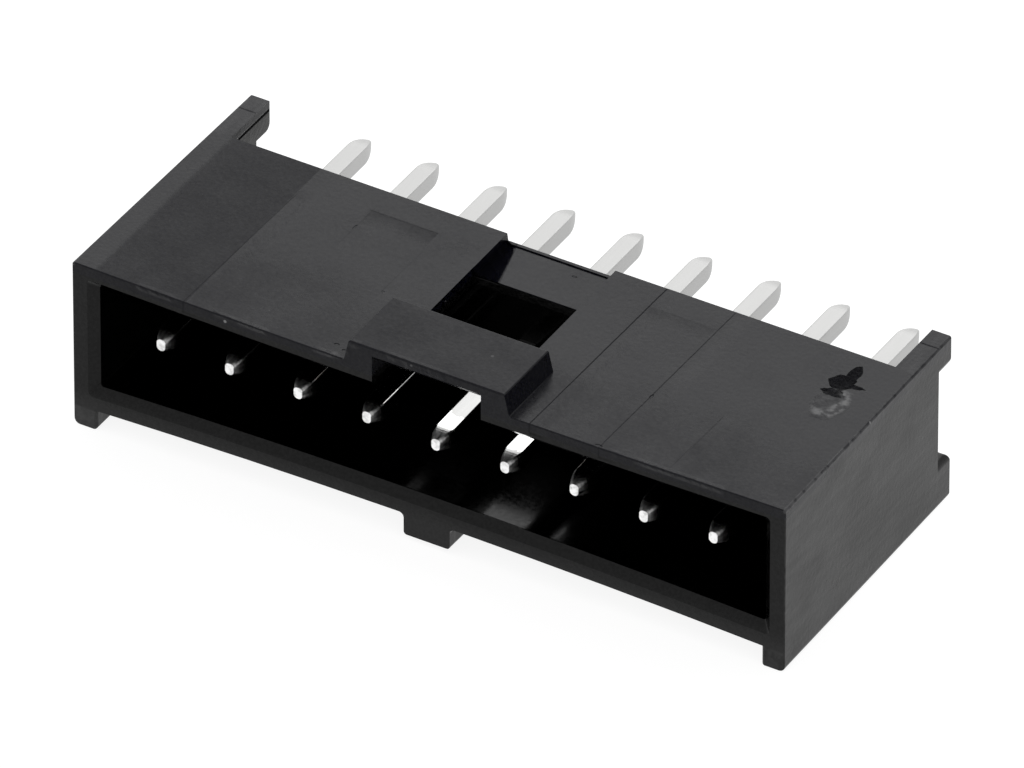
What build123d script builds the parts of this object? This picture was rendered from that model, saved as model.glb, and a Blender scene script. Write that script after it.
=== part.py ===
"""Nine-way shrouded pin header: one moulded housing with a latch bridge, and nine square pins.

The header lies on its side. X runs along the pin row, +Y runs along the pins from the mouth
to the solder tails, and +Z points out of the wall that carries the latch bridge.
The origin is the middle of the pin row on the surface of the circuit board.
"""
from build123d import *
import os

# Pins, in millimetres
pin_count = 9
pitch = 2.54
pin_side = 0.64
pin_length = 12.88
tail_beyond_board = 2.68
mating_taper = 0.66
mating_end_width = 0.31
mating_end_height = 0.43
mating_end_radius = 0.15
tail_taper = 0.78
tail_end_side = 0.2
tail_end_radius = 0.08
coined_steps = 6
coined_roundness = 2.1
pin_corner_radius = 0.05
pin_clearance = 0.01
bent_tips = {5: -0.13, 6: -0.07, 8: -0.08, 9: 0.05}

# Housing, outside
end_margin = 2.94
top_above_pins = 2.55
bottom_below_pins = 3.02
mouth_above_board = 10.76
end_draft = 0.145
corner_radius = 0.08
rib_corner_radius = 0.22

# Housing, walls and base
long_wall = 0.79
end_wall = 0.85
cavity_depth = 6.32
base_thickness = 2.08
end_wall_recess = 0.83
lead_in = 0.3
cavity_corner_radius = 0.1
mouth_corner_radius = 0.18

# Inward sag of the long walls at the mouth, which fades out towards the board
top_sag = 0.11
top_sag_left = 0.005
bottom_sag = 0.25

# Ribs under the bottom wall, and the feet that stand on the board
end_rib_height = 0.77
centre_rib_height = 0.82
centre_rib_width = 1.7
rib_root_radius = 0.18
rib_edge_radius = 0.12
top_foot_height = 1.1
bottom_foot_height = 1.74
foot_corner_radius = 0.26
foot_edge_radius = 0.05
mouth_edge_radius = 0.04

# Latch slot through the top wall, and the shallow trough behind it
slot_width = 4.0
trough_depth = 0.34
trough_side_slope = 0.05
trough_rim_height = 0.045
trough_rim_thickness = 0.12

# Bridge over the front of the slot
bridge_width = 5.7
bridge_draft = 0.16
bridge_depth = 2.76
bridge_rise = 0.69
bridge_thickness = 0.6
bridge_edge_radius = 0.06
bridge_root_radius = 0.06
bridge_sunk = 0.2

# Places that follow from the sizes above
row_length = (pin_count - 1) * pitch
half_length = row_length / 2 + end_margin
mouth_y = -mouth_above_board
floor_y = mouth_y + cavity_depth
base_back_y = floor_y + base_thickness
top_z = top_above_pins
bottom_z = -bottom_below_pins
rib_z = bottom_z - end_rib_height
trough_z = top_z - trough_depth
inner_half_length = half_length - end_wall
tail_end_y = tail_beyond_board
mating_end_y = tail_end_y - pin_length
bridge_top_z = top_z + bridge_rise
bridge_under_z = bridge_top_z - bridge_thickness
past = 1.0
tolerance = 0.001


def section_plane(y):
    """A plane across the mating axis at y, drawn with X to the right and Z up."""
    return Plane(origin=(0, y, 0), x_dir=(1, 0, 0), z_dir=(0, -1, 0))


def outline(y, half, low, high, low_sag=0.0, high_sag=0.0, radius=0.0):
    """A closed face at y whose long sides sag inward by the given amounts at the middle."""
    with BuildSketch(section_plane(y)) as sketch:
        with BuildLine():
            if low_sag:
                ThreePointArc((-half, low), (0, low + low_sag), (half, low))
            else:
                Line((-half, low), (half, low))
            Line((half, low), (half, high))
            if high_sag:
                ThreePointArc((half, high), (0, high - high_sag), (-half, high))
            else:
                Line((half, high), (-half, high))
            Line((-half, high), (-half, low))
        make_face()
        if radius:
            fillet(sketch.vertices(), radius)
    return sketch.sketch


def block(x_range, y_range, z_range):
    """An upright box between the low and high ends of each range."""
    sizes = [high - low for low, high in (x_range, y_range, z_range)]
    middle = [(high + low) / 2 for low, high in (x_range, y_range, z_range)]
    return Pos(*middle) * Box(*sizes)


def faded(sag, y):
    """How much of a sag at the mouth is left at y, where the board has none."""
    return sag * y / mouth_y


def make_envelope():
    """The outside of the housing as one drafted form, from the mouth to the feet."""
    board_half = half_length - end_draft
    with BuildSketch(Plane.XY.offset(rib_z)) as plan:
        Polygon((-half_length, mouth_y), (half_length, mouth_y), (board_half, 0), (-board_half, 0),
                align=None)
    envelope = extrude(plan.sketch, amount=top_z - rib_z)
    sections = []
    for y, half in ((mouth_y, half_length), (0.0, board_half)):
        sag = top_sag_left + faded(top_sag - top_sag_left, y)
        wide = half + past
        rise = sag * ((wide / half) ** 2 - 1)
        sections.append(outline(y, wide, top_z + rise, top_z + 2 * past, -sag - rise))
    envelope -= loft(sections, ruled=True)
    long_edges = envelope.edges().filter_by(lambda edge: abs(edge.center().Y - mouth_y / 2) < tolerance)
    low_edges = long_edges.filter_by(lambda edge: edge.center().Z < 0)
    envelope = fillet(low_edges, rib_corner_radius)
    long_edges = envelope.edges().filter_by(lambda edge: abs(edge.center().Y - mouth_y / 2) < tolerance)
    high_edges = long_edges.filter_by(lambda edge: edge.center().Z > top_z - corner_radius)
    envelope = fillet(high_edges, corner_radius)
    board_side = envelope.faces().sort_by(Axis.Y)[-1]
    envelope = fillet(board_side.edges(), foot_edge_radius)
    mouth_side = envelope.faces().sort_by(Axis.Y)[0]
    return fillet(mouth_side.edges(), mouth_edge_radius)


def make_cavity():
    """The space for the mating plug, with a lead-in all round its mouth."""
    half = inner_half_length
    low = bottom_z + long_wall
    high = top_z - long_wall
    radius = cavity_corner_radius
    throat_y = mouth_y + lead_in
    throat = outline(throat_y, half, low, high, faded(bottom_sag, throat_y),
                     faded(top_sag, throat_y), radius)
    floor = outline(floor_y, half, low, high, faded(bottom_sag, floor_y),
                    faded(top_sag, floor_y), radius)
    mouth = outline(mouth_y, half + lead_in, low - lead_in, high + lead_in, bottom_sag, top_sag,
                    mouth_corner_radius)
    return loft([throat, floor], ruled=True) + loft([mouth, throat], ruled=True)


def make_underside_cut():
    """What is taken away below the bottom wall, which leaves the centre rib and the two end ribs.

    The centre rib rises with the sag of the wall, so only the end ribs reach the table.
    """
    low = rib_z - past
    sections = []
    rib_sections = []
    for y in (mouth_y, base_back_y):
        whole = outline(y, inner_half_length, low, bottom_z, 0.0, -faded(bottom_sag, y))
        with BuildSketch(section_plane(y)) as half:
            add(whole)
            with Locations((-half_length + centre_rib_width / 2, low)):
                Rectangle(2 * half_length, 2 * (bottom_z - low) + past, mode=Mode.SUBTRACT)
            fillet(half.vertices().group_by(Axis.Y)[-1], rib_root_radius)
        sections.append(half.sketch)
        under_rib = bottom_z - centre_rib_height + faded(bottom_sag, y)
        rib_sections.append(outline(y, centre_rib_width, low, under_rib))
    right = loft(sections, ruled=True)
    return right + mirror(right, about=Plane.YZ) + loft(rib_sections, ruled=True)


def make_housing_shell():
    """The shroud, the base behind the cavity and the two end walls with their feet."""
    shell = make_envelope() - make_cavity() - make_underside_cut()
    between_end_walls = (-inner_half_length, inner_half_length)
    shell -= block(between_end_walls, (base_back_y, past), (rib_z - past, top_z + past))
    between_feet = (rib_z + bottom_foot_height, top_z - top_foot_height)
    shell -= block((-half_length, half_length), (-end_wall_recess, past), between_feet)
    foot_edges = shell.edges().filter_by(Axis.X).filter_by(
        lambda edge: abs(edge.center().Y) < tolerance
        and between_feet[0] - tolerance < edge.center().Z < between_feet[1] + tolerance
    )
    return fillet(foot_edges, foot_corner_radius)


def make_slot():
    """The latch slot, open from the mouth to the base, and the trough that carries it on to the back."""
    half = slot_width / 2
    slot = block((-half, half), (mouth_y - past, floor_y), (top_z - long_wall - past, top_z + past))
    floor_half = half - trough_side_slope
    with BuildSketch(section_plane(floor_y)) as section:
        Polygon((-floor_half, trough_z), (floor_half, trough_z), (half, top_z), (half, top_z + past),
                (-half, top_z + past), (-half, top_z), align=None)
    trough = extrude(section.sketch, amount=-(base_thickness + past))
    rim_y = (base_back_y - trough_rim_thickness, base_back_y + 2 * past)
    rim = block((-half, half), rim_y, (trough_z - past, trough_z + trough_rim_height))
    return slot + (trough - rim)


def make_bridge():
    """The raised bar that spans the slot at the mouth, on two flared legs that stand in the top wall."""
    top_half = bridge_width / 2
    toe_z = top_z - top_sag
    root_half = top_half + bridge_draft * (bridge_top_z - toe_z) / bridge_rise
    toe_half = root_half + bridge_root_radius
    low_z = toe_z - bridge_sunk
    with BuildSketch(section_plane(mouth_y)) as section:
        Polygon((-toe_half, low_z), (toe_half, low_z), (toe_half, toe_z), (root_half, toe_z),
                (top_half, bridge_top_z), (-top_half, bridge_top_z), (-root_half, toe_z),
                (-toe_half, toe_z), align=None)
        roots = section.vertices().filter_by(lambda corner: abs(abs(corner.X) - root_half) < tolerance)
        fillet(roots, bridge_root_radius)
        with Locations((0, (low_z + bridge_under_z) / 2)):
            Rectangle(slot_width, bridge_under_z - low_z, mode=Mode.SUBTRACT)
    bridge = extrude(section.sketch, amount=-bridge_depth)
    under_front = bridge.edges().filter_by(Axis.X).filter_by(
        lambda edge: abs(edge.center().Y - mouth_y) < tolerance
        and abs(edge.center().Z - bridge_under_z) < tolerance
    )
    bridge = chamfer(under_front, lead_in)
    top_edges = bridge.edges().filter_by(lambda edge: abs(edge.center().Z - bridge_top_z) < tolerance)
    return fillet(top_edges, bridge_edge_radius)


def pin_places():
    """The X of each pin, from left to right."""
    return [index * pitch - row_length / 2 for index in range(pin_count)]


def make_housing():
    """The whole moulding, with its latch slot, bridge and pin holes."""
    housing = make_housing_shell() - make_slot() + make_bridge()
    rib_sides = (centre_rib_width / 2, inner_half_length)
    rib_edges = housing.edges().filter_by(
        lambda edge: edge.center().Z < (rib_z + bottom_z) / 2
        and edge.length > cavity_depth
        and min(abs(abs(edge.center().X) - side) for side in rib_sides) < tolerance
    )
    housing = fillet(rib_edges, rib_edge_radius)
    half_hole = pin_side / 2 + pin_clearance
    through_base = (floor_y - past, base_back_y + past)
    for x in pin_places():
        housing -= block((x - half_hole, x + half_hole), through_base, (-half_hole, half_hole))
    housing.label = "housing"
    return housing


def coined_end(body_y, end_y, width, height, radius):
    """Sections of a coined pin end, from the square bar at body_y to the small flat at end_y."""
    sections = []
    for step in range(coined_steps + 1):
        share = step / coined_steps
        worn = share ** coined_roundness
        sections.append((
            body_y + (end_y - body_y) * share,
            pin_side + (width - pin_side) * worn,
            pin_side + (height - pin_side) * worn,
            pin_corner_radius + (radius - pin_corner_radius) * share,
        ))
    return sections


def make_pin(x, tip_rise):
    """A square pin with a coined point at each end, bent from the cavity floor by tip_rise at its tip."""
    mating = coined_end(mating_end_y + mating_taper, mating_end_y, mating_end_width, mating_end_height,
                        mating_end_radius)
    straight = [(floor_y, pin_side, pin_side, pin_corner_radius)]
    tail = coined_end(tail_end_y - tail_taper, tail_end_y, tail_end_side, tail_end_side, tail_end_radius)
    faces = []
    for y, width, height, radius in mating[::-1] + straight + tail:
        rise = tip_rise * max(0.0, (floor_y - y) / (floor_y - mating_end_y))
        faces.append(section_plane(y) * Pos(x, rise, 0) * RectangleRounded(width, height, radius))
    return loft(faces, ruled=True)


os.makedirs("parts", exist_ok=True)
export_step(make_housing(), "parts/housing.step")
for number, x in enumerate(pin_places(), start=1):
    pin = make_pin(x, bent_tips.get(number, 0.0))
    pin.label = f"pin_{number}"
    export_step(pin, f"parts/{pin.label}.step")
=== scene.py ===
"""Looks for the shrouded pin header: black moulded plastic, bright tin pins, pale studio floor."""
import math

import bpy
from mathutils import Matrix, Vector


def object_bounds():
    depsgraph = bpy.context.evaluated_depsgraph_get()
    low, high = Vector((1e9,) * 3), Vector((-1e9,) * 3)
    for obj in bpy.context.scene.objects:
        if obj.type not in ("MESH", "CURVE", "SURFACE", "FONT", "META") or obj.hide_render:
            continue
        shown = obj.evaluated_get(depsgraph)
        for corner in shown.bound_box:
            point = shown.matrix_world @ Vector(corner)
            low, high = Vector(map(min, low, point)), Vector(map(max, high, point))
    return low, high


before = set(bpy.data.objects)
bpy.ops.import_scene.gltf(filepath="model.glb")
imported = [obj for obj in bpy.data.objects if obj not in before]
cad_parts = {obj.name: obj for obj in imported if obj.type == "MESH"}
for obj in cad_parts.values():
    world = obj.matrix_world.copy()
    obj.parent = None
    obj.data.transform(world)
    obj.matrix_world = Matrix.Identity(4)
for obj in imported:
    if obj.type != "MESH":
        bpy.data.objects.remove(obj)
cad_low, cad_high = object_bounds()

MM = 0.001
floor_z = cad_low.z
middle = (cad_low + cad_high) / 2

# Camera
eye = Vector((310.17, -530.12, 444.81)) * MM
back = Vector((0.4108, -0.6949, 0.5901)).normalized()
lens_mm = 835.1

# Light
world_strength = 0.95
key_direction = Vector((-0.16, 0.74, 0.65)).normalized()
key_distance = 0.30
key_radius = 0.12
key_radiance = 1.5

# Floor
floor_reach = 3.0
floor_colour = 0.2
floor_bounce_colour = 0.8
glow_in_front = 0.84
glow_behind = 1.0
glow_change_y = 0.03

# The housing, in the part's millimetres
top_z = 2.55
bridge_top_z = 3.24
trough_z = 2.21
half_length = 13.1
end_draft = 0.145
mouth_y = -10.76
floor_y = -4.44
base_back_y = -2.36
end_wall_x = 12.2
recess_y = -0.83

# Mould seams on the top face
seam_lean = 0.016
seam_middle_y = -6.0
seam_width = 0.06
seam_wobble = 0.03
seam_fade = 0.7
seam_recovery = 0.8
left_seam_x = -8.9
# Each seam's X, the Y at its ends, and how far the surface drops across it
seams = (
    (left_seam_x, -10.7, -4.3, 0.018),
    (-6.36, -5.2, -3.6, 0.006),
    (-3.84, -6.9, -4.8, 0.004),
    (3.85, -10.7, -2.5, 0.03),
    (6.38, -10.7, -2.6, 0.02),
    (8.87, -10.2, -9.5, 0.01),
    (8.9, -9.0, -7.8, -0.012),
)

# Small pits: each one's centre and radii, and its depth
pit_core = 0.4
pit_slope = 6.0
pits = (
    (-6.35, -4.55, 0.04, 0.16, 0.03),
    (-3.8, -7.05, 0.06, 0.05, 0.03),
    (6.38, -7.6, 0.06, 0.14, 0.05),
    (6.25, -10.66, 0.14, 0.07, 0.05),
    (0.83, -2.93, 0.1, 0.04, 0.03),
    (12.3, -0.06, 0.08, 0.05, 0.03),
    (-3.62, -10.2, 0.1, 0.07, 0.05),
    (-3.22, -10.35, 0.13, 0.06, 0.05),
)

# Pale flecks: each one's centre, its radius and its brightness
fleck_core = 0.6
fleck_rim = 1.2
flecks = (
    (1.48, -9.16, 3.24, 0.06, 0.04),
    (-7.42, -10.76, 2.3, 0.06, 0.16),
    (-8.05, -10.68, 2.54, 0.04, 0.06),
    (-6.4, -9.75, 2.5, 0.04, 0.03),
    (-2.0, -6.2, 2.25, 0.04, 0.06),
    (13.0, -5.3, 2.5, 0.05, 0.12),
    (-0.55, -10.76, 3.12, 0.05, 0.05),
    (-3.45, -10.6, 2.52, 0.12, 0.02),
)

# Faint steps across the top face, each with a duller strip in front of it:
# the X at its ends, its drop, where the strip starts and ends, and how much duller it is
step_y = -3.49
step_fade_y = (-4.6, -3.6)
steps = (
    (-6.35, -3.9, 0.005, -4.5, -3.5, 0.2),
    (3.9, 6.3, 0.004, -4.2, -3.55, 0.1),
)
recess_step = 0.015
nick_depth = 0.06

# Torn gate scar, as ovals with a centre and radii
neck_oval = ((11.33, -3.35), (0.2, 0.4))
body_oval = ((11.22, -3.95), (0.4, 0.36))
tongue_oval = ((11.6, -3.95), (0.36, 0.11))
lower_oval = ((11.22, -4.55), (0.36, 0.17))
scrape_oval = ((11.45, -5.1), (0.46, 0.7))
hollow_oval = ((11.22, -4.95), (0.3, 0.45))
tear_depth = 0.5
scrape_depth = 0.03

# Dark wedge along the trough's left wall: its edge's X at the back and slant, its curve and its depth
wedge_back_x = -1.6
wedge_spread = 0.27
wedge_curve = 1.5
wedge_depth = 1.1

# The two ends of each fade at the edge of a panel or a paler stretch of painted light
front_panel_fade_y = (-9.0, -6.0)
inner_end_fade_x = (11.9, 12.0)
behind_base_fade_y = (-2.5, -2.3)
below_wall_fade_z = (-3.1, -3.0)
low_lip_fade_z = (-3.0, -2.2)
arris_fade_z = (2.42, 2.45)
arris_dim_y = (-6.4, -5.8)
cavity_fade_z = (1.8, 1.9)

# Gloss and grain of the plastic
plastic_ior = 1.26
plastic_roughness = 0.185
least_roughness = 0.08
grain_depth = 0.006
cavity_grain_depth = 0.0002
# Painted reflection: a faint blue added to the colour of the top faces
top_reflection_blue = 0.002

# The pins, in the part's millimetres
mating_end_y = -10.2
mating_taper = 0.66
tin_roughness = 0.14
tin_brightness = 0.36
tin_blue_share = 0.99
drawn_depth = 0.002
# Painted highlights: bright patches on the pins' upper sides. Noise moves their ends 0.3 to 0.9 toward the
# mouth from these Y values, and left of the split they start near the back of the coined tip instead
patch_end_y = -8.155
patch_start_y = -8.925
patch_split_x = 1.1
patch_soft = 0.025


def add_camera():
    data = bpy.data.cameras.new("camera")
    data.lens = lens_mm
    data.sensor_width = 36.0
    data.clip_start = 0.05
    data.clip_end = 20.0
    camera = bpy.data.objects.new("camera", data)
    camera.location = eye
    camera.rotation_mode = "QUATERNION"
    camera.rotation_quaternion = (-back).to_track_quat("-Z", "Y")
    bpy.context.scene.collection.objects.link(camera)
    bpy.context.scene.camera = camera


def add_disk_light(name, direction, distance, radius, radiance):
    """A round softbox whose face has the given radiance, where 1 is white."""
    data = bpy.data.lights.new(name, "AREA")
    data.shape = "DISK"
    data.size = 2 * radius
    data.energy = radiance * (math.pi * radius) ** 2
    light = bpy.data.objects.new(name, data)
    light.location = middle + direction * distance
    light.rotation_mode = "QUATERNION"
    light.rotation_quaternion = (-direction).to_track_quat("-Z", "Y")
    bpy.context.scene.collection.objects.link(light)


class Shader:
    """Adds shader nodes to a new material and links them. Places are in the part's millimetres."""

    def __init__(self, name):
        self.material = bpy.data.materials.new(name)
        self.material.use_nodes = True
        self.tree = self.material.node_tree
        self.tree.nodes.clear()

    def add(self, kind, inputs=(), **settings):
        node = self.tree.nodes.new(kind)
        for name, value in settings.items():
            setattr(node, name, value)
        for key, value in dict(inputs).items():
            if isinstance(value, bpy.types.NodeSocket):
                self.tree.links.new(value, node.inputs[key])
            else:
                node.inputs[key].default_value = value
        return node

    def maths(self, operation, first, second=0.0):
        return self.add("ShaderNodeMath", {0: first, 1: second}, operation=operation).outputs[0]

    def plus(self, *values):
        total = values[0]
        for value in values[1:]:
            total = self.maths("ADD", total, value)
        return total

    def times(self, *values):
        product = values[0]
        for value in values[1:]:
            product = self.maths("MULTIPLY", product, value)
        return product

    def ramp(self, value, low, high, to_low=0.0, to_high=1.0):
        """A smooth step from to_low, where the value is low, to to_high, where it is high."""
        inputs = {0: value, 1: low, 2: high, 3: to_low, 4: to_high}
        return self.add("ShaderNodeMapRange", inputs, interpolation_type="SMOOTHSTEP").outputs[0]

    def band(self, value, low, high, soft):
        """1 between low and high, and fading to 0 over soft outside them."""
        return self.times(self.ramp(value, low - soft, low), self.ramp(value, high, high + soft, 1.0, 0.0))

    def locate(self):
        """Sets the point being shaded, as a vector and as its X, Y and Z."""
        metres = self.add("ShaderNodeTexCoord").outputs["Object"]
        scaled = self.add("ShaderNodeVectorMath", {0: metres, "Scale": 1 / MM}, operation="SCALE")
        self.point = scaled.outputs[0]
        self.x, self.y, self.z = self.add("ShaderNodeSeparateXYZ", {0: self.point}).outputs

    def oval(self, centre, radii, soft, ragged=0.0):
        """1 inside an upright oval, and fading to 0 past its outline, which a noise value can make ragged."""
        across = self.maths("POWER", self.times(self.plus(self.x, -centre[0]), 1 / radii[0]), 2)
        along = self.maths("POWER", self.times(self.plus(self.y, -centre[1]), 1 / radii[1]), 2)
        return self.ramp(self.plus(across, along, ragged), 1.0, 1.0 + soft, 1.0, 0.0)

    def noise(self, scale, detail=2.0, stretch=(1, 1, 1)):
        """Noise from about 0.25 to 0.75, with scale features in a millimetre."""
        sized = self.add("ShaderNodeVectorMath", {0: self.point, 1: stretch}, operation="MULTIPLY")
        inputs = {"Vector": sized.outputs[0], "Scale": scale, "Detail": detail}
        return self.add("ShaderNodeTexNoise", inputs).outputs[0]

    def weighted(self, start, *rows):
        """A start value plus each row's values multiplied together."""
        return self.plus(start, *[self.times(*row) for row in rows])

    def bump(self, height):
        """The shading normal for a relief whose height is in millimetres."""
        return self.add("ShaderNodeBump", {"Distance": MM, "Height": height}).outputs[0]

    def tinted(self, red_and_green, blue):
        """A near grey colour whose blue can differ."""
        return self.add("ShaderNodeCombineColor", {0: red_and_green, 1: red_and_green, 2: blue}).outputs[0]

    def surface(self, shader_socket):
        self.add("ShaderNodeOutputMaterial", {"Surface": shader_socket})
        return self.material


def add_floor():
    low = -floor_reach
    high = floor_reach
    mesh = bpy.data.meshes.new("floor")
    corners = [(low, low, floor_z), (high, low, floor_z), (high, high, floor_z), (low, high, floor_z)]
    mesh.from_pydata(corners, [], [(0, 1, 2, 3)])
    floor = bpy.data.objects.new("floor", mesh)
    bpy.context.scene.collection.objects.link(floor)
    s = Shader("floor")
    path = s.add("ShaderNodeLightPath").outputs
    seen = s.maths("MAXIMUM", path["Is Camera Ray"], path["Is Glossy Ray"])
    seen = s.maths("MAXIMUM", seen, path["Is Transmission Ray"])
    along = s.add("ShaderNodeSeparateXYZ", {0: s.add("ShaderNodeTexCoord").outputs["Object"]}).outputs["Y"]
    strength = s.ramp(along, -glow_change_y, glow_change_y, glow_in_front, glow_behind)
    lit = s.add("ShaderNodeBsdfDiffuse", {"Color": (floor_colour, floor_colour, floor_colour, 1)})
    glow = s.add("ShaderNodeEmission", {"Color": (1, 1, 1, 1), "Strength": strength})
    both = s.add("ShaderNodeAddShader", {0: lit.outputs[0], 1: glow.outputs[0]})
    bounce = (floor_bounce_colour, floor_bounce_colour, floor_bounce_colour, 1)
    plain = s.add("ShaderNodeBsdfDiffuse", {"Color": bounce})
    mixed = s.add("ShaderNodeMixShader", {0: seen, 1: plain.outputs[0], 2: both.outputs[0]})
    mesh.materials.append(s.surface(mixed.outputs[0]))


def seam_heights(s, leaning):
    """The surface drops across each seam, and comes back a little further on."""
    heights = []
    for seam_x, low_y, high_y, drop in seams:
        fall = s.ramp(leaning, seam_x - seam_width / 2, seam_x + seam_width / 2, 0.0, -drop)
        recovery = s.ramp(leaning, seam_x + seam_width, seam_x + seam_recovery, 1.0, 0.0)
        heights.append(s.times(fall, recovery, s.band(s.y, low_y, high_y, seam_fade)))
    return heights


def pit_heights(s):
    heights = []
    for x, y, radius_x, radius_y, depth in pits:
        pit = s.oval((x, y), (pit_core * radius_x, pit_core * radius_y), pit_slope)
        heights.append(s.times(pit, -depth))
    return heights


def step_heights(s, leaning, size_x):
    """The faint steps between seams, and the one on the tops of the end walls."""
    soft = 0.05
    heights = []
    for low_x, high_x, drop, *_ in steps:
        step = s.ramp(s.y, step_y - soft, step_y + soft, -drop, 0.0)
        heights.append(s.times(step, s.band(leaning, low_x, high_x, 0.2), s.ramp(s.y, *step_fade_y)))
    on_end_wall = s.ramp(size_x, end_wall_x - 0.02, end_wall_x + 0.02)
    on_its_top = s.ramp(s.z, top_z - 0.03, top_z - 0.01)
    recess = s.ramp(s.y, recess_y - soft, recess_y + soft, 0.0, recess_step)
    return heights + [s.times(recess, on_end_wall, on_its_top)]


def nick_height(s):
    """Rough stretches along the top's front edge."""
    at_front = s.ramp(s.y, mouth_y + 0.05, mouth_y + 0.2, 1.0, 0.0)
    near_top = s.ramp(s.z, top_z - 0.25, top_z - 0.1)
    stretches = s.ramp(s.noise(0.6), 0.5, 0.6)
    return s.times(s.noise(4.0, 4.0), at_front, near_top, stretches, nick_depth)


def top_relief(s, size_x):
    """The relief of the top face's seams, pits, steps and nicks, in millimetres."""
    wobble = s.times(s.plus(s.noise(3.0), -0.5), seam_wobble)
    leaning = s.plus(s.x, s.times(s.plus(s.y, -seam_middle_y), -seam_lean), wobble)
    heights = [*seam_heights(s, leaning), *pit_heights(s), *step_heights(s, leaning, size_x), nick_height(s)]
    above_trough = s.ramp(s.z, trough_z - 0.16, trough_z - 0.06)
    return s.times(s.plus(*heights), above_trough)


def gate_scar(s, torn, on_top):
    """Torn mark where the moulding's gate was, and the scraped oval in front of it.

    Gives the masks of the tear, the scrape and the scrape's pale rim, and the relief in millimetres.
    """
    ragged = s.times(s.plus(torn, -0.5), 3.0)
    neck = s.oval(*neck_oval, 0.2, s.times(ragged, 0.5))
    body = s.oval(*body_oval, 0.2, s.times(ragged, 0.8))
    tongue = s.oval(*tongue_oval, 0.3, ragged)
    lower = s.oval(*lower_oval, 0.4, ragged)
    tear = s.maths("MAXIMUM", s.maths("MAXIMUM", neck, body), s.maths("MAXIMUM", tongue, lower))
    tear = s.times(tear, on_top)
    scrape = s.times(s.oval(*scrape_oval, 0.9, s.times(ragged, 0.5)), on_top)
    hollow = s.oval(*hollow_oval, 1.2)
    rim = s.times(scrape, s.plus(1.0, s.times(hollow, -0.8)))
    teeth = s.maths("FRACT", s.plus(s.times(s.x, 1.1), s.times(s.y, -1.9), s.times(torn, 1.5)))
    relief = s.weighted(s.times(teeth, tear, -tear_depth), (s.noise(6.0, 3.0), scrape, scrape_depth))
    return tear, scrape, rim, relief


def trough_wedge(s):
    """How far a point lies inside the wedge by the trough's left wall."""
    edge_x = s.plus(s.times(s.plus(s.y, -base_back_y), -wedge_spread), wedge_back_x)
    inside = s.maths("MAXIMUM", s.plus(edge_x, s.times(s.x, -1)), 0.0)
    on_its_floor = s.band(s.z, trough_z - 0.06, trough_z + 0.04, 0.03)
    behind_slot = s.ramp(s.y, floor_y - 0.1, floor_y)
    left_part = s.ramp(s.x, -0.4, -0.2, 1.0, 0.0)
    return s.times(s.maths("POWER", inside, wedge_curve), on_its_floor, behind_slot, left_part)


def cavity_mask(s, size_x):
    below_top_wall = s.ramp(s.z, *cavity_fade_z, 1.0, 0.0)
    between_mouth_and_floor = s.band(s.y, mouth_y + 0.35, floor_y + 0.1, 0.05)
    between_end_walls = s.ramp(size_x, end_wall_x, end_wall_x + 0.1, 1.0, 0.0)
    return s.times(below_top_wall, between_mouth_and_floor, between_end_walls)


def dull_rows(s, on_top):
    """Panels of the top face that differ in gloss, each with the roughness that it adds."""
    right_of_end_wall = s.ramp(s.x, -end_wall_x - 0.15, -end_wall_x + 0.1)
    left_of_seam = s.ramp(s.x, left_seam_x - seam_width / 2, left_seam_x + seam_width / 2, 1.0, 0.0)
    toward_front = s.ramp(s.y, *front_panel_fade_y, 1.0, 0.0)
    right_of_seam = s.ramp(s.x, left_seam_x - 0.1, left_seam_x + 0.1)
    on_bridge = s.ramp(s.z, bridge_top_z - 0.05, bridge_top_z - 0.02)
    rows = [
        (right_of_end_wall, left_of_seam, on_top, 0.22),
        (toward_front, right_of_seam, on_top, 0.12),
        (on_bridge, 0.08),
    ]
    for low_x, high_x, _, start_y, end_y, duller in steps:
        growing = s.ramp(s.y, start_y, end_y - 0.05)
        ended = s.ramp(s.y, end_y, end_y + 0.06, 1.0, 0.0)
        rows.append((s.band(s.x, low_x, high_x, 0.05), growing, ended, on_top, duller))
    return rows


def painted_light_rows(s, size_x, clouds, torn):
    """Painted light: paler stretches of the end walls, the right arris and the lower lip, and how pale each
    one is.
    """
    end_x = s.plus(s.times(s.plus(s.y, -mouth_y), -end_draft / -mouth_y), half_length)
    past_end = s.plus(size_x, s.times(end_x, -1))
    outer_end = s.ramp(past_end, -0.05, -0.02)
    behind_base = s.ramp(s.y, *behind_base_fade_y)
    below_wall = s.ramp(s.z, *below_wall_fade_z, 1.0, 0.0)
    inner_end = s.times(s.ramp(size_x, *inner_end_fade_x), s.maths("MAXIMUM", behind_base, below_wall))
    lit_end = s.maths("MAXIMUM", outer_end, inner_end)
    streaks = s.noise(4.0, 3.0, (1.0, 0.15, 1.0))
    toward_front = s.ramp(s.y, *arris_dim_y, 1.0, 0.5)
    arris = s.times(s.ramp(past_end, -0.11, -0.07), s.ramp(s.z, *arris_fade_z), toward_front)
    at_mouth = s.ramp(s.y, mouth_y + 0.35, mouth_y + 0.5, 1.0, 0.0)
    low_lip = s.times(s.ramp(s.z, *low_lip_fade_z, 1.0, 0.0), at_mouth)
    return [
        # Painted light on the end walls, varied by streaky and cloudy tone
        (lit_end, s.ramp(streaks, 0.35, 0.65, -0.007, 0.004)),
        (lit_end, s.ramp(clouds, 0.35, 0.65, 0.005, 0.021)),
        # Painted light on the lower lip of the front face
        (low_lip, 0.01),
        # Painted highlight on the right arris, broken up by noise and halved toward the back
        (arris, s.ramp(torn, 0.42, 0.5, 0.0, 0.03)),
    ]


def fleck_rows(s):
    rows = []
    for x, y, z, radius, brightness in flecks:
        away = s.add("ShaderNodeVectorMath", {0: s.point, 1: (x, y, z)}, operation="DISTANCE")
        fleck = s.ramp(away.outputs["Value"], radius * fleck_core, radius * fleck_rim, brightness, 0.0)
        rows.append((fleck,))
    return rows


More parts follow.
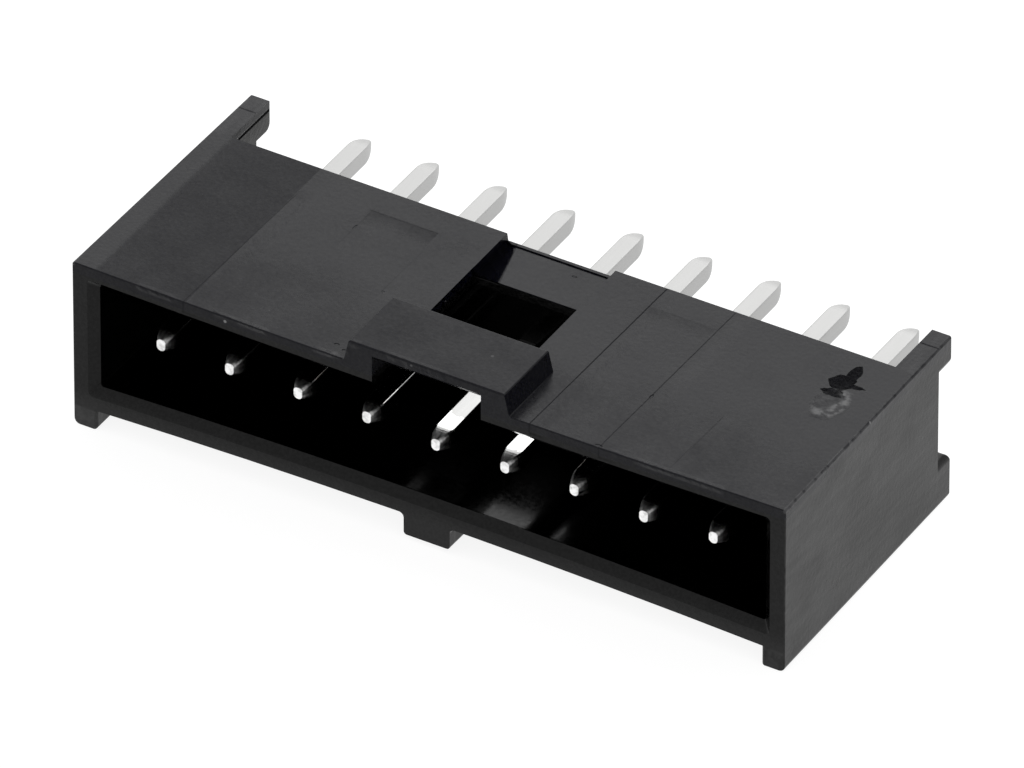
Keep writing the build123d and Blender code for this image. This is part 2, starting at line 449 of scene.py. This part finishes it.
def plastic():
    """Black moulded plastic: satin, with mould seams, small pits, pale flecks, a torn gate scar, and painted
    light and shade.
    """
    s = Shader("black_plastic")
    s.locate()
    clouds = s.noise(0.45, 3.0)
    grain = s.noise(7.0, 3.0)
    torn = s.noise(3.5, 4.0)
    specks = s.noise(11.0, 2.0)
    size_x = s.maths("ABSOLUTE", s.x)
    on_top = s.ramp(s.z, trough_z - 0.06, trough_z - 0.01)
    in_cavity = cavity_mask(s, size_x)
    tear, scrape, rim, scar_relief = gate_scar(s, torn, on_top)

    grain_here = s.plus(grain_depth, s.times(in_cavity, cavity_grain_depth - grain_depth))
    relief = s.weighted(
        s.plus(top_relief(s, size_x), scar_relief),
        (trough_wedge(s), -wedge_depth),
        (grain, grain_here),
    )
    roughness = s.weighted(
        plastic_roughness,
        *dull_rows(s, on_top),
        (s.plus(clouds, -0.5), 0.3),
        (s.plus(grain, -0.5), 0.22),
        (in_cavity, -0.05),
        (tear, 0.7),
        (scrape, 0.25),
    )
    colour = s.weighted(
        # Painted shade: the random pale specks are cut to a tenth inside the cavity
        s.times(s.ramp(specks, 0.35, 0.65, 0.0, 0.004), s.plus(1.0, s.times(in_cavity, -0.9))),
        *painted_light_rows(s, size_x, clouds, torn),
        (scrape, 0.008),
        (rim, s.ramp(torn, 0.4, 0.62, 0.01, 0.1)),
        *fleck_rows(s),
    )
    bsdf = s.add("ShaderNodeBsdfPrincipled", {
        # Painted reflection: a faint blue on the top faces
        "Base Color": s.tinted(colour, s.plus(colour, s.times(on_top, top_reflection_blue))),
        "Roughness": s.maths("MAXIMUM", roughness, least_roughness),
        "IOR": plastic_ior,
        "Normal": s.bump(relief),
    })
    return s.surface(bsdf.outputs[0])


def tin():
    """Bright tin: drawn along the pins, duller on the tails and the coined tips, with painted highlights on
    the cut ends and upper sides.
    """
    s = Shader("tin_plating")
    s.locate()
    drawn = s.noise(6.0, 3.0, (1.0, 0.12, 1.0))
    cut_end_highlight = s.ramp(s.y, mating_end_y + 0.01, mating_end_y + 0.03, 1.0, 0.0)
    tip = s.ramp(s.y, mating_end_y + 0.1, mating_end_y + mating_taper, 1.0, 0.0)
    tail = s.ramp(s.y, base_back_y - 0.4, base_back_y)

    # Painted highlights on the pins' upper sides, with jagged ends
    jagged = s.plus(s.y, s.times(s.noise(2.2, 3.0), 1.2))
    before_end = s.ramp(jagged, patch_end_y - patch_soft, patch_end_y + patch_soft, 1.0, 0.0)
    left_of_split = s.ramp(s.x, patch_split_x - 0.1, patch_split_x + 0.1, 2.0, 0.0)
    past_start = s.ramp(s.plus(left_of_split, jagged), patch_start_y - patch_soft, patch_start_y + patch_soft)
    upper_side = s.ramp(s.z, 0.1, 0.2)
    behind_tip = s.ramp(s.y, mating_end_y + 0.5, mating_end_y + 0.6)

    colour = s.weighted(
        tin_brightness,
        # Painted highlight on the cut ends
        (cut_end_highlight, 0.6),
        (tip, s.plus(drawn, -0.55), 1.2),
        (tail, 0.13),
        (before_end, past_start, upper_side, behind_tip, 0.5),
        (s.plus(drawn, -0.5), 0.1),
    )
    roughness = s.weighted(tin_roughness, (tip, 0.26), (tail, 0.36), (s.plus(drawn, -0.5), 0.15))
    bsdf = s.add("ShaderNodeBsdfPrincipled", {
        "Base Color": s.tinted(colour, s.times(colour, tin_blue_share)),
        "Metallic": 1.0,
        "Roughness": roughness,
        "Normal": s.bump(s.times(drawn, drawn_depth)),
    })
    return s.surface(bsdf.outputs[0])


def dress():
    black = plastic()
    bright = tin()
    for name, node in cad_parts.items():
        node.data.materials.clear()
        node.data.materials.append(black if name == "housing" else bright)


def add_world():
    world = bpy.data.worlds.new("world")
    bpy.context.scene.world = world
    world.use_nodes = True
    background = world.node_tree.nodes["Background"]
    background.inputs["Color"].default_value = (1, 1, 1, 1)
    background.inputs["Strength"].default_value = world_strength


add_camera()
add_floor()
dress()
add_world()
add_disk_light("key", key_direction, key_distance, key_radius, key_radiance)
bpy.context.scene.view_settings.view_transform = "Standard"
